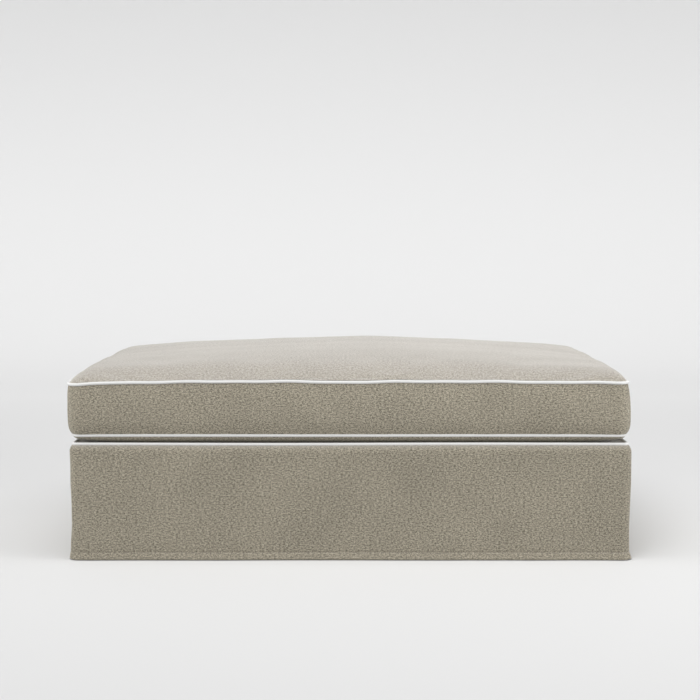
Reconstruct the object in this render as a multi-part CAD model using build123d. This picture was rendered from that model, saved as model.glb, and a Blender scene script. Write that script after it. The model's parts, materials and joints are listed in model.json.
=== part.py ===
import math
import os

from build123d import *

# Ottoman: a loose box cushion on a slipcovered base. Millimetres, X wide, Y deep with the front at -Y, Z up

# Overall outline
overall_width = 1300.0
overall_depth = 800.0
overall_height = 480.0

# Heights, from the crown down
crown_height = 65.0
boxing_height = 126.0
underside_height = 19.5
skirt_bend_drop = 20.0
deck_stack_height = 29.5
hem_floor_gap = 3.0

# Cloth, piping and general clearances
cloth_thickness = 1.2
skirt_cloth_thickness = 1.5
piping_diameter = 7.0
piping_cord_diameter = 4.6
piping_sides = 8
cord_sides = 6
soft_gap = 0.3
layer_gap = 0.05

# Base plan sizes
base_corner_radius = 22.0
skirt_flare = 1.5
base_piping_inset = 11.5
hem_depth = 18.0
hem_layers = 2
deck_pad_edge_gap = 1.0

# Cushion plan sizes
cushion_side_inset = 1.5
cushion_end_inset = 2.5
cushion_corner_radius = 33.0
bottom_piping_inset = 11.5
boxing_widest_share = 0.512
front_seam_angle = 60.0
crown_shoulder_run = 64.0
crown_shoulder_drop_wide = 33.4
crown_shoulder_drop_deep = 25.8
crown_ridge_lift = 1.5
underside_run = 60.0

# Cushion filling
wrap_thickness = 20.0
bottom_wrap_thickness = 15.0
foam_side_inset = 18.5
foam_corner_radius = 14.5

# Wooden frame
rail_thickness = 25.0
rail_side_inset = 10.0
leg_height = 100.0
leg_top_width = 60.0
leg_foot_width = 45.0
leg_inset = 10.0
glide_diameter = 28.0
glide_thickness = 4.0
glide_sides = 20
corner_block_side = 120.0
corner_block_height = 40.0
corner_block_tip = 12.0
cross_rail_drop = 30.0
cross_rail_height = 90.0
cross_rail_share = 0.17
tenon_length = 14.0
tenon_thickness = 13.0
tenon_shoulder = 16.0

# Fixings
leg_bolt_diameter = 8.0
leg_bolt_in_leg = 40.0
bolt_hole_clearance = 0.5
bolt_head_flats = 13.0
bolt_head_height = 5.5

# Webbing, hessian, padding and dust cover
webbing_width = 60.0
webbing_thickness = 1.5
webbing_ramp = 14.0
webbing_end_inset = 3.0
lengthwise_strips = 4
crosswise_strips = 7
staple_crown = 26.0
staple_wire = 1.2
staple_leg = 9.0
staple_inset = 9.0
hessian_thickness = 0.9
hessian_inset = 5.0
wadding_thickness = 5.0
wadding_floor_gap = 4.0
dust_cover_thickness = 0.8
dust_cover_inset = 6.0
dust_cover_notch_gap = 4.0

# Zip in the back boxing
zip_end_margin = 55.5
zip_strip_gap = 8.2
zip_tape_width = 14.0
zip_tape_thickness = 0.8
zip_coil_width = 2.4
zip_coil_thickness = 2.0
zip_coil_slit = 1.2
zip_stop_length = 4.0
back_strip_return = 20.0
zip_pocket_height = 34.0
zip_pocket_depth = 6.5
slider_length = 9.0
slider_width = 7.8
slider_plate = 1.0
slider_clearance = 0.1
slider_web = 0.8
slider_loop_width = 1.6
slider_loop_bar = 0.9
slider_loop_length = 7.4
pull_bar_diameter = 1.1
pull_bar_clearance = 0.15
pull_eye_width = 3.4
pull_eye_length = 5.6
pull_rim = 1.5
pull_length = 26.0
pull_width = 7.0
pull_thickness = 1.0

# Values that follow from the sizes above
cushion_top_seam_height = overall_height - crown_height
cushion_bottom_seam_height = cushion_top_seam_height - boxing_height
boxing_widest_height = cushion_bottom_seam_height + boxing_widest_share * boxing_height
deck_height = cushion_bottom_seam_height - underside_height
skirt_bend_height = deck_height - skirt_bend_drop
half_width = overall_width / 2
half_depth = overall_depth / 2
piping_radius = piping_diameter / 2
cord_radius = piping_cord_diameter / 2
base_core = (half_width - base_corner_radius, half_depth - base_corner_radius)
cushion_half = (half_width - cushion_side_inset, half_depth - cushion_end_inset)
cushion_core = tuple(half - cushion_corner_radius for half in cushion_half)
base_piping_reach = base_corner_radius - base_piping_inset
base_piping_height = deck_height - cloth_thickness / 2
zip_half_length = cushion_core[0] - zip_end_margin
top_piping_reach = cushion_corner_radius - piping_radius
bottom_piping_reach = cushion_corner_radius - bottom_piping_inset
cushion_underside = deck_height + soft_gap
rail_top = deck_height - deck_stack_height
rail_half = (half_width - rail_side_inset, half_depth - rail_side_inset)
hessian_base = rail_top + 2 * webbing_thickness
hessian_top = hessian_base + hessian_thickness
pad_top = deck_height - cloth_thickness - soft_gap
leg_centre = tuple(half - leg_inset - leg_top_width / 2 for half in rail_half)
block_top = leg_height + corner_block_height
crown_rise = overall_height - cushion_top_seam_height - cloth_thickness / 2

corners = ((-1, -1), (1, -1), (1, 1), (-1, 1))
corner_names = ("front_left", "front_right", "back_right", "back_left")
sides = {"front": -90.0, "right": 0.0, "back": 90.0, "left": 180.0}

os.makedirs("parts", exist_ok=True)


def save(shape, name):
    export_step(shape, f"parts/{name}.step")
    print(name, round(shape.volume / 1000, 2), "cm3")


def group(shapes):
    return Compound(children=list(shapes))


# Rim pieces: a section drawn as (reach out from the core rectangle, height) runs along the sides and corners
def outward(angle):
    return Vector(math.cos(math.radians(angle)), math.sin(math.radians(angle)), 0)


def section_plane(point, angle):
    out = outward(angle)
    return Plane(origin=point, x_dir=out, z_dir=(out.Y, -out.X, 0))


def side_run(section, core, side, start, end):
    angle = sides[side]
    out = outward(angle)
    along = Vector(out.Y, -out.X, 0)
    core_point = Vector(core[0] * out.X, core[1] * out.Y, 0)
    placed = section_plane(core_point + along * start, angle) * section
    return extrude(placed, amount=end - start, dir=along)


def corner_run(section, core, corner, start_angle, sweep):
    point = Vector(core[0] * corner[0], core[1] * corner[1], 0)
    placed = section_plane(point, start_angle) * section
    return revolve(placed, Axis(point, (0, 0, 1)), sweep)


def side_half_length(core, side):
    return core[1] if side in ("left", "right") else core[0]


def corner_start_angle(corner):
    return {(-1, -1): 180.0, (1, -1): 270.0, (1, 1): 0.0, (-1, 1): 90.0}[corner]


def full_rim(section, core):
    pieces = [side_run(section, core, side, -side_half_length(core, side), side_half_length(core, side)) for side in sides]
    pieces += [corner_run(section, core, corner, corner_start_angle(corner), 90) for corner in corners]
    return fused(pieces)


def fused(pieces):
    whole = pieces[0]
    for piece in pieces[1:]:
        whole = whole + piece
    return whole


def side_panel(section, core, side, before_angle, after_angle):
    # A side with its share of the corner at each end, up to the seams
    half = side_half_length(core, side)
    angle = sides[side]
    order = list(sides).index(side)
    corner_before = corners[order]
    corner_after = corners[(order + 1) % len(corners)]
    pieces = [side_run(section, core, side, -half, half)]
    if before_angle:
        pieces.append(corner_run(section, core, corner_before, angle - before_angle, before_angle))
    if after_angle:
        pieces.append(corner_run(section, core, corner_after, angle, after_angle))
    return fused(pieces)


def disc(reach, height, radius, side_count=piping_sides):
    turn = 180 / side_count
    return Pos(reach, height) * RegularPolygon(radius, side_count, major_radius=False, rotation=turn)


def rounded_block(half_x, half_y, corner_radius, low, high):
    return Pos(0, 0, low) * extrude(RectangleRounded(2 * half_x, 2 * half_y, corner_radius), high - low)


def box_between(low, high):
    size = [b - a for a, b in zip(low, high)]
    centre = [(a + b) / 2 for a, b in zip(low, high)]
    return Pos(*centre) * Box(*size)


# Wooden frame
def long_rail(side_sign):
    outer = side_sign * rail_half[1]
    inner = side_sign * (rail_half[1] - rail_thickness)
    low = (-rail_half[0], min(outer, inner), leg_height)
    high = (rail_half[0], max(outer, inner), rail_top)
    rail = box_between(low, high)
    for sign in (-1, 1):
        rail -= short_rail(sign)
        rail -= cross_rail(sign)
    return rail


def tenoned_rail(middle, low, high):
    # A rail from front to back with a stub tenon in each long rail
    reach = rail_half[1] - rail_thickness
    half = rail_thickness / 2
    rail = box_between((middle - half, -reach, low), (middle + half, reach, high))
    half_tenon = tenon_thickness / 2
    tenon_low = (middle - half_tenon, -reach - tenon_length, low + tenon_shoulder)
    tenon_high = (middle + half_tenon, reach + tenon_length, high - tenon_shoulder)
    return rail + box_between(tenon_low, tenon_high)


def short_rail(side_sign):
    return tenoned_rail(side_sign * (rail_half[0] - rail_thickness / 2), leg_height, rail_top)


def cross_rail(side_sign):
    top = rail_top - cross_rail_drop
    return tenoned_rail(side_sign * cross_rail_share * overall_width, top - cross_rail_height, top)


def corner_block(corner):
    inner_x = rail_half[0] - rail_thickness
    inner_y = rail_half[1] - rail_thickness
    side = corner_block_side
    tip = corner_block_tip
    outline = [(0, 0), (-side, 0), (-side, -tip), (-tip, -side), (0, -side)]
    points = [(corner[0] * (inner_x + x), corner[1] * (inner_y + y)) for x, y in outline]
    block = Pos(0, 0, leg_height) * extrude(make_face(Polyline(*points, close=True)), corner_block_height)
    hole = Cylinder((leg_bolt_diameter + bolt_hole_clearance) / 2, corner_block_height)
    return block - Pos(*leg_place(corner), leg_height + corner_block_height / 2) * hole


def leg_place(corner):
    return (corner[0] * leg_centre[0], corner[1] * leg_centre[1])


def leg(corner):
    half_top = leg_top_width / 2
    half_foot = leg_foot_width / 2
    outline = [(-half_foot, glide_thickness), (half_foot, glide_thickness), (half_top, leg_height), (-half_top, leg_height)]
    tapered = make_face(Polyline(*outline, close=True))
    across = extrude(Plane.XZ * tapered, leg_top_width, both=True)
    return Pos(*leg_place(corner), 0) * (across & extrude(Plane.YZ * tapered, leg_top_width, both=True))


def leg_bolt(corner):
    # Hexagon head on the block, shank down through it into the leg
    length = leg_bolt_in_leg + corner_block_height
    shank = Pos(0, 0, block_top - length / 2) * Cylinder(leg_bolt_diameter / 2, length)
    hexagon = RegularPolygon(bolt_head_flats / 2, 6, major_radius=False)
    return Pos(*leg_place(corner), 0) * (shank + Pos(0, 0, block_top) * extrude(hexagon, bolt_head_height))


def glide(corner):
    disc = extrude(RegularPolygon(glide_diameter / 2, glide_sides), glide_thickness)
    return Pos(*leg_place(corner), 0) * disc


# Interlaced webbing
def strip_places(count, span):
    pitch = span / (count + 1)
    return [pitch * (number + 1) - span / 2 for number in range(count)]


inner_span = tuple(2 * (half - rail_thickness) for half in rail_half)
crosswise_places = strip_places(crosswise_strips, inner_span[0])
lengthwise_places = strip_places(lengthwise_strips, inner_span[1])


def strip_outline(end, crossings, over_parity):
    low = [(-end, 0)]
    for number, place in enumerate(crossings):
        if (number + over_parity) % 2 == 0:
            near = webbing_width / 2
            far = near + webbing_ramp
            low += [(place - far, 0), (place - near, webbing_thickness)]
            low += [(place + near, webbing_thickness), (place + far, 0)]
    low.append((end, 0))
    high = [(x, z + webbing_thickness) for x, z in reversed(low)]
    return make_face(Polyline(*(low + high), close=True))


def lengthwise_webbing():
    end = rail_half[0] - webbing_end_inset
    strips = []
    for number, place in enumerate(lengthwise_places):
        outline = strip_outline(end, crosswise_places, number % 2)
        strip = extrude(Plane.XZ * outline, webbing_width / 2, both=True)
        strips.append(Pos(0, place, rail_top) * strip)
    return group(strips)


def crosswise_webbing():
    end = rail_half[1] - webbing_end_inset
    strips = []
    for number, place in enumerate(crosswise_places):
        outline = strip_outline(end, lengthwise_places, (number + 1) % 2)
        strip = extrude(Plane.YZ * outline, webbing_width / 2, both=True)
        strips.append(Pos(place, 0, rail_top) * strip)
    return group(strips)


def staple():
    # Crown along X, legs down, its underside on the webbing
    outer = staple_crown / 2
    inner = outer - staple_wire
    outline = [(-outer, staple_wire), (outer, staple_wire), (outer, -staple_leg), (inner, -staple_leg)]
    outline += [(inner, 0), (-inner, 0), (-inner, -staple_leg), (-outer, -staple_leg)]
    return extrude(Plane.XZ * make_face(Polyline(*outline, close=True)), staple_wire / 2, both=True)


def webbing_staples():
    height = rail_top + webbing_thickness
    staples = []
    for sign in (-1, 1):
        y = sign * (rail_half[1] - staple_inset)
        x = sign * (rail_half[0] - staple_inset)
        staples += [Pos(place, y, height) * staple() for place in crosswise_places]
        staples += [Pos(x, place, height) * Rot(0, 0, 90) * staple() for place in lengthwise_places]
    return group(staples)


def hessian():
    half = [value - hessian_inset for value in rail_half]
    return box_between((-half[0], -half[1], hessian_base), (half[0], half[1], hessian_top))


def deck_pad():
    inset = base_piping_inset + piping_radius + deck_pad_edge_gap
    radius = base_corner_radius - inset
    return rounded_block(half_width - inset, half_depth - inset, radius, hessian_top, pad_top)


def rail_wadding():
    low = leg_height + wadding_floor_gap
    outer = [half + wadding_thickness for half in rail_half]
    radius = base_corner_radius - (half_width - outer[0])
    band = rounded_block(outer[0], outer[1], radius, low, hessian_top)
    core = box_between((-rail_half[0], -rail_half[1], low), (rail_half[0], rail_half[1], hessian_top))
    return band - core


def dust_cover():
    half = [value - dust_cover_inset for value in rail_half]
    low = leg_height - dust_cover_thickness
    sheet = box_between((-half[0], -half[1], low), (half[0], half[1], leg_height))
    notch = leg_top_width + 2 * dust_cover_notch_gap
    reach = [half[axis] - leg_centre[axis] + notch / 2 for axis in (0, 1)]
    for corner in corners:
        inner = [corner[axis] * (half[axis] - reach[axis]) for axis in (0, 1)]
        outer = [corner[axis] * half[axis] for axis in (0, 1)]
        cut_low = [min(inner[axis], outer[axis]) for axis in (0, 1)] + [low]
        cut_high = [max(inner[axis], outer[axis]) for axis in (0, 1)] + [leg_height]
        sheet -= box_between(cut_low, cut_high)
    return sheet


# Slipcover of the base
def skirt_section():
    face_reach = base_corner_radius - skirt_flare
    fold = hem_layers * skirt_cloth_thickness
    drop = base_piping_height - skirt_bend_height
    bend_in = face_reach - base_piping_reach
    bend_radius = (bend_in**2 + drop**2) / (2 * bend_in)
    centre = (face_reach - bend_radius, skirt_bend_height)
    end_angle = math.asin(drop / bend_radius)
    rims = {}
    for name, radius in (("outer", bend_radius), ("inner", bend_radius - skirt_cloth_thickness)):
        middle = (centre[0] + radius * math.cos(end_angle / 2), centre[1] + radius * math.sin(end_angle / 2))
        last = (centre[0] + radius * math.cos(end_angle), centre[1] + radius * math.sin(end_angle))
        rims[name] = ((centre[0] + radius, centre[1]), middle, last)
    outer, inner = rims["outer"], rims["inner"]
    hem_top = hem_floor_gap + hem_depth
    hem_outer = (base_corner_radius, hem_floor_gap)
    slope = skirt_flare / (skirt_bend_height - hem_floor_gap)
    hem_inner = base_corner_radius - slope * hem_depth - skirt_cloth_thickness
    edge = ThreePointArc(*outer) + Line(outer[2], inner[2]) + ThreePointArc(inner[2], inner[1], inner[0])
    edge += Polyline(inner[0], (hem_inner, hem_top), (hem_inner - fold, hem_top), (hem_inner - fold, hem_floor_gap))
    edge += Polyline((hem_inner - fold, hem_floor_gap), hem_outer, outer[0])
    return make_face(edge) - disc(base_piping_reach, base_piping_height, piping_radius)


def deck_panel():
    inset = base_piping_inset + piping_radius
    radius = base_corner_radius - inset
    return rounded_block(half_width - inset, half_depth - inset, radius, deck_height - cloth_thickness, deck_height)


def piping(core, reach, height):
    bore = disc(reach, height, cord_radius, cord_sides)
    return full_rim(disc(reach, height, piping_radius) - bore, core), full_rim(bore, core)


# Cushion
def arched_block(half, run, spring, shoulder, peak):
    # An arched outline over a half length: a flat or domed middle, then a rounded shoulder down to the seam
    seam = (half, spring)
    bend = (half - run, shoulder)
    left_bend = (-bend[0], shoulder)
    domed = peak != shoulder
    middle = ThreePointArc(left_bend, (0, peak), bend) if domed else Line(left_bend, bend)
    right = TangentArc(bend, seam, tangent=middle % 1)
    left = mirror(right, about=Plane.YZ)
    far = boxing_widest_height
    return make_face(middle + right + left + Polyline((-half, spring), (-half, far), (half, far), seam))


def crossed_blocks(faces):
    wide, deep = faces
    across = extrude(Plane.XZ * wide, overall_depth, both=True)
    return across & extrude(Plane.YZ * deep, overall_width, both=True)


def below_crown(drop):
    # The arch from front to back peaks a little higher, so that the two never touch along a line at the middle
    spring = cushion_top_seam_height + cloth_thickness / 2 - drop
    peak = spring + crown_rise
    high_peak = peak + crown_ridge_lift
    wide, deep = top_half()
    run = crown_shoulder_run
    across = arched_block(wide, run, spring, peak - crown_shoulder_drop_wide, peak)
    return crossed_blocks((across, arched_block(deep, run, spring, high_peak - crown_shoulder_drop_deep, high_peak)))


def above_underside(lift):
    spring = cushion_bottom_seam_height - cloth_thickness / 2 + lift
    floor = cushion_underside + lift
    return crossed_blocks(arched_block(half, underside_run, spring, floor, floor) for half in bottom_half())


def top_half():
    return [core + top_piping_reach - piping_radius for core in cushion_core]


def bottom_half():
    return [core + bottom_piping_reach - piping_radius for core in cushion_core]


def foam_half():
    return [half - foam_side_inset for half in cushion_half]


def panel_block(half, reach):
    # The plan of a panel, cut just clear of the piping round it
    radius = reach - piping_radius - layer_gap
    return rounded_block(half[0] - layer_gap, half[1] - layer_gap, radius, 0, 2 * overall_height)


def top_panel():
    sheet = below_crown(0) - below_crown(cloth_thickness)
    return sheet & panel_block(top_half(), top_piping_reach)


def bottom_panel():
    sheet = above_underside(0) - above_underside(cloth_thickness)
    return sheet & panel_block(bottom_half(), bottom_piping_reach)


def foam_block(low, high):
    half = foam_half()
    return rounded_block(half[0], half[1], foam_corner_radius, low, high)


def wrap_top():
    drop = cloth_thickness + layer_gap
    sheet = below_crown(drop) - below_crown(drop + wrap_thickness)
    return sheet & foam_block(boxing_widest_height, overall_height)


def wrap_bottom():
    lift = cloth_thickness + layer_gap
    sheet = above_underside(lift) - above_underside(lift + bottom_wrap_thickness)
    return sheet & foam_block(0, boxing_widest_height)


def foam_core():
    lower = above_underside(cloth_thickness + bottom_wrap_thickness + 2 * layer_gap)
    lower &= foam_block(0, boxing_widest_height)
    upper = below_crown(cloth_thickness + wrap_thickness + 2 * layer_gap)
    return lower + (upper & foam_block(boxing_widest_height, overall_height))


def boxing_curve(shift):
    top = (top_piping_reach - shift, cushion_top_seam_height)
    widest = (cushion_corner_radius - shift, boxing_widest_height)
    bottom = (bottom_piping_reach - shift, cushion_bottom_seam_height)
    return top, widest, bottom


def boxing_section():
    outer = boxing_curve(0)
    inner = boxing_curve(cloth_thickness)
    edge = ThreePointArc(*outer) + Line(outer[2], inner[2])
    edge += ThreePointArc(inner[2], inner[1], inner[0]) + Line(inner[0], outer[0])
    return make_face(edge) - piping_discs()


def piping_discs():
    top = disc(top_piping_reach, cushion_top_seam_height, piping_radius)
    return top + disc(bottom_piping_reach, cushion_bottom_seam_height, piping_radius)


def wrap_side_section():
    inner = boxing_curve(cloth_thickness + layer_gap)
    reach = cushion_corner_radius - foam_side_inset + layer_gap
    low = cushion_bottom_seam_height + piping_radius
    high = cushion_top_seam_height - piping_radius
    edge = Polyline(*inner, (reach, inner[2][1]), (reach, inner[0][1]), close=True)
    band = make_face(edge)
    middle = (low + high) / 2
    return band & (Pos(reach, middle) * Rectangle(4 * cushion_corner_radius, high - low))


def wrap_sides():
    ring = full_rim(wrap_side_section(), cushion_core)
    half_pocket = zip_pocket_height / 2
    back = cushion_half[1]
    reach = cushion_core[0]
    low = (-reach, back - zip_pocket_depth, boxing_widest_height - half_pocket)
    return ring - box_between(low, (reach, back, boxing_widest_height + half_pocket))


def boxing_front():
    return side_panel(boxing_section(), cushion_core, "front", front_seam_angle, front_seam_angle)


def boxing_end(side):
    rest = 90 - front_seam_angle
    before, after = (rest, 90) if side == "right" else (90, rest)
    panel = side_panel(boxing_section(), cushion_core, side, before, after)
    return panel + back_return(side)


def back_return(side):
    # The end strip carries on round the back corner to its seam with the zipped strips
    reach = cushion_core[0]
    start, end = (-reach, -reach + back_strip_return) if side == "left" else (reach - back_strip_return, reach)
    return side_run(boxing_section(), cushion_core, "back", start, end)


def back_strip(sign):
    # Upper or lower strip of the back, cut short of the zip
    middle = boxing_widest_height + sign * (zip_strip_gap / 2 + overall_height / 2)
    keep = Pos(cushion_corner_radius, middle) * Rectangle(2 * cushion_corner_radius, overall_height)
    section = boxing_section() & keep
    reach = cushion_core[0] - back_strip_return
    return side_run(section, cushion_core, "back", -reach, reach)


# Zip
zip_face = cushion_half[1] - cloth_thickness - layer_gap - zip_tape_thickness
coil_outer = zip_face + zip_tape_thickness + slider_clearance
coil_inner = coil_outer - zip_coil_thickness


def zip_tape(sign):
    # Flat against the inner face of the boxing strip, from the coil outwards
    face = boxing_curve(cloth_thickness + layer_gap)
    back = boxing_curve(cloth_thickness + layer_gap + zip_tape_thickness)
    edge = ThreePointArc(*face) + Line(face[2], back[2])
    edge += ThreePointArc(back[2], back[1], back[0]) + Line(back[0], face[0])
    near = zip_coil_slit / 2 + zip_coil_width
    middle = boxing_widest_height + sign * (near + zip_tape_width / 2)
    window = Pos(cushion_corner_radius, middle) * Rectangle(2 * cushion_corner_radius, zip_tape_width)
    return side_run(make_face(edge) & window, cushion_core, "back", -zip_half_length, zip_half_length)


def zip_coil(sign):
    near = zip_coil_slit / 2
    low, high = sorted((boxing_widest_height + sign * near, boxing_widest_height + sign * (near + zip_coil_width)))
    return box_between((-zip_half_length, coil_inner, low), (zip_half_length, coil_outer, high))


def zip_stops():
    reach = zip_coil_slit / 2 + zip_coil_width
    stops = []
    for sign in (-1, 1):
        start, end = sorted((sign * zip_half_length, sign * (zip_half_length + zip_stop_length)))
        low = (start, coil_inner, boxing_widest_height - reach)
        stops.append(box_between(low, (end, coil_outer, boxing_widest_height + reach)))
    return group(stops)


slider_rest = zip_half_length - slider_length / 2 - slider_clearance
outer_plate_low = coil_outer + slider_clearance
outer_plate_high = outer_plate_low + slider_plate
bar_radius = pull_bar_diameter / 2
bar_centre = outer_plate_high + pull_bar_clearance + bar_radius
loop_under = bar_centre + bar_radius + pull_bar_clearance


def zip_slider():
    half_length = slider_length / 2
    half_plate = slider_width / 2
    middle = boxing_widest_height
    outer = box_between((-half_length, outer_plate_low, middle - half_plate), (half_length, outer_plate_high, middle + half_plate))
    inner_high = coil_inner - slider_clearance
    inner_low = (-half_length, inner_high - slider_plate, middle - half_plate)
    inner = box_between(inner_low, (half_length, inner_high, middle + half_plate))
    web_low = (-half_length, inner_high - slider_plate, middle - slider_web / 2)
    web = box_between(web_low, (half_length, outer_plate_high, middle + slider_web / 2))
    loop_half = slider_loop_length / 2
    half_loop_width = slider_loop_width / 2
    loop_low = (-loop_half, outer_plate_low, middle - half_loop_width)
    loop = box_between(loop_low, (loop_half, loop_under + slider_loop_bar, middle + half_loop_width))
    eye_half = loop_half - slider_loop_bar
    eye_low = (-eye_half, outer_plate_high, middle - half_loop_width)
    loop -= box_between(eye_low, (eye_half, loop_under, middle + half_loop_width))
    return Pos(slider_rest, 0, 0) * (outer + inner + web + loop)


def zip_pull():
    middle = boxing_widest_height
    half_eye = pull_eye_width / 2
    bar_half = half_eye + pull_rim
    bar = Pos(0, bar_centre, middle) * Cylinder(bar_radius, 2 * bar_half)
    half_thick = pull_thickness / 2
    low = (-pull_length, bar_centre - half_thick, middle - pull_width / 2)
    tab = box_between(low, (-pull_eye_length, bar_centre + half_thick, middle + pull_width / 2))
    arms = []
    for sign in (-1, 1):
        z_low, z_high = sorted((middle + sign * half_eye, middle + sign * bar_half))
        low = (-pull_eye_length, bar_centre - half_thick, z_low)
        arms.append(box_between(low, (0, bar_centre + half_thick, z_high)))
    return Pos(slider_rest, 0, 0) * fused([bar, tab] + arms)


# Write every piece
def write_frame():
    save(long_rail(-1), "front_rail")
    save(long_rail(1), "back_rail")
    save(short_rail(-1), "left_rail")
    save(short_rail(1), "right_rail")
    save(cross_rail(-1), "left_cross_rail")
    save(cross_rail(1), "right_cross_rail")
    for name, corner in zip(corner_names, corners):
        save(corner_block(corner), f"{name}_corner_block")
        save(leg(corner), f"{name}_leg")
    save(group(leg_bolt(corner) for corner in corners), "leg_bolts")
    save(group(glide(corner) for corner in corners), "glides")
    save(lengthwise_webbing(), "lengthwise_webbing")
    save(crosswise_webbing(), "crosswise_webbing")
    save(webbing_staples(), "webbing_staples")
    save(hessian(), "hessian")
    save(deck_pad(), "deck_pad")
    save(rail_wadding(), "rail_wadding")
    save(dust_cover(), "dust_cover")


def write_slipcover():
    save(deck_panel(), "deck_panel")
    section = skirt_section()
    for side in sides:
        save(side_panel(section, base_core, side, 45, 45), f"{side}_skirt")
    cover, cord = piping(base_core, base_piping_reach, base_piping_height)
    save(cover, "base_piping")
    save(cord, "base_piping_cord")


def write_cushion():
    save(foam_core(), "foam_core")
    save(wrap_top(), "wrap_top")
    save(wrap_bottom(), "wrap_bottom")
    save(wrap_sides(), "wrap_sides")
    save(top_panel(), "top_panel")
    save(bottom_panel(), "bottom_panel")
    save(boxing_front(), "front_boxing")
    save(boxing_end("left"), "left_boxing")
    save(boxing_end("right"), "right_boxing")
    save(back_strip(1), "upper_back_boxing")
    save(back_strip(-1), "lower_back_boxing")
    cover, cord = piping(cushion_core, top_piping_reach, cushion_top_seam_height)
    save(cover, "top_piping")
    save(cord, "top_piping_cord")
    cover, cord = piping(cushion_core, bottom_piping_reach, cushion_bottom_seam_height)
    save(cover, "bottom_piping")
    save(cord, "bottom_piping_cord")


def write_zip():
    save(zip_tape(1), "upper_zip_tape")
    save(zip_tape(-1), "lower_zip_tape")
    save(zip_coil(1), "upper_zip_coil")
    save(zip_coil(-1), "lower_zip_coil")
    save(zip_stops(), "zip_stops")
    save(zip_slider(), "zip_slider")
    save(zip_pull(), "zip_pull")


write_frame()
write_slipcover()
write_cushion()
write_zip()
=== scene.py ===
# %% [markdown]
# # A slipcovered ottoman with a piped box cushion
# The real object is a wooden box base under a loose cloth cover, with a separate foam cushion lying on it.
# The wooden frame, the fixings and the zip slider come ready made with the frame. Here every cloth and
# padded piece is made again as cloth, each in the place of the plain solid that it stands for, and
# everything gets its finish.

# %% Load the frame and measure its box
import json
import math

import bpy
import numpy as np
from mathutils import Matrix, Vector

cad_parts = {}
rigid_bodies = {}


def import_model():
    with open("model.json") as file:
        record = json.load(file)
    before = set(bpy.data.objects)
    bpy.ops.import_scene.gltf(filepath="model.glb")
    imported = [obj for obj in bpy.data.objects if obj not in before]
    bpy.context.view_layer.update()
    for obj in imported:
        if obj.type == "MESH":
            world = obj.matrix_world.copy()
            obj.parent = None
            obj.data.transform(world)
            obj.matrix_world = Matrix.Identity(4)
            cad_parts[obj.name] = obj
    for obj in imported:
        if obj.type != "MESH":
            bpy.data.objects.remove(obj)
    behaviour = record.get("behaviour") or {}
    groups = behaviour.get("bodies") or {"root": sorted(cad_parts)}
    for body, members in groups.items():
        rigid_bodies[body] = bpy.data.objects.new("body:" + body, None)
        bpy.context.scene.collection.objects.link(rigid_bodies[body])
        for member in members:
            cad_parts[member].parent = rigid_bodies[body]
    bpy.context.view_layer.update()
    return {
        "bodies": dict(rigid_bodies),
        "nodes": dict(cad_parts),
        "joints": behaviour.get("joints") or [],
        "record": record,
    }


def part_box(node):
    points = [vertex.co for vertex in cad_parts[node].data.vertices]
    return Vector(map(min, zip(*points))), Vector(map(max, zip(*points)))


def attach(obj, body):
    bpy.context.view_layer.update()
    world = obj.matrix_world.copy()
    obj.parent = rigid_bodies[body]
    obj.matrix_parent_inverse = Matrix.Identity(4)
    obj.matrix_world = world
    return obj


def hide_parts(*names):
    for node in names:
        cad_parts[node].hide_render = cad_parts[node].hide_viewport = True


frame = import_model()
nodes = frame["nodes"]

# %% [markdown]
# The sizes that the cloth follows are read from the plain solids, so a cover always fits its frame. Each
# rim is a rounded rectangle. It is kept as a core rectangle plus a reach outwards from it, because then the
# piping, the boxing and the skirt all run round the same four corner centres.

# %% Sizes of the cover, in metres
mm = 0.001
base_corner, cushion_corner = 22 * mm, 33 * mm
base_core = (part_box("right_skirt")[1].x - base_corner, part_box("back_skirt")[1].y - base_corner)
cushion_core = (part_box("right_boxing")[1].x - cushion_corner, -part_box("front_boxing")[0].y - cushion_corner)
piping_radius = 3.5 * mm


def middle_height(node):
    low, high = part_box(node)
    return (low.z + high.z) / 2


def piping_reach(node, core):
    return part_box(node)[1].x - piping_radius - core[0]


top_seam = middle_height("top_piping")
bottom_seam = middle_height("bottom_piping")
rim_seam = middle_height("base_piping")
boxing_depth = top_seam - bottom_seam
top_reach = piping_reach("top_piping", cushion_core)
bottom_reach = piping_reach("bottom_piping", cushion_core) + 2 * mm
rim_reach = piping_reach("base_piping", base_core)
deck_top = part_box("deck_panel")[1].z
cushion_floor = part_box("bottom_panel")[0].z
crown_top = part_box("top_panel")[1].z
zip_height = middle_height("zip_slider")
print("seams at", round(rim_seam, 4), round(bottom_seam, 4), round(top_seam, 4), "crown", round(crown_top, 4))


def seam_share(height):
    # 0 at the cushion's lower seam, 1 at its top seam
    return (height - bottom_seam) / boxing_depth


# %% [markdown]
# ## Helpers
# Operators act on whatever is selected, and loading leaves the frame selected, so each new piece starts by
# clearing the selection. Points are then read and written all at once as arrays, which is how a large cloth
# mesh can be shaped by a rule instead of by hand.


# %% Selection, points and modifiers
def only(piece=None):
    bpy.ops.object.select_all(action="DESELECT")
    if piece:
        piece.select_set(True)
        bpy.context.view_layer.objects.active = piece
    return piece


def named(piece, name):
    piece.name = piece.data.name = name
    return piece


def add_object(name, data):
    piece = bpy.data.objects.new(name, data)
    bpy.context.scene.collection.objects.link(piece)
    return piece


def write_points(piece, points):
    piece.data.vertices.foreach_set("co", np.asarray(points, np.float32).ravel())
    piece.data.update()
    return piece


def read_points(piece):
    points = np.empty(len(piece.data.vertices) * 3, np.float32)
    piece.data.vertices.foreach_get("co", points)
    return points.reshape(-1, 3).astype(float)


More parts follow.
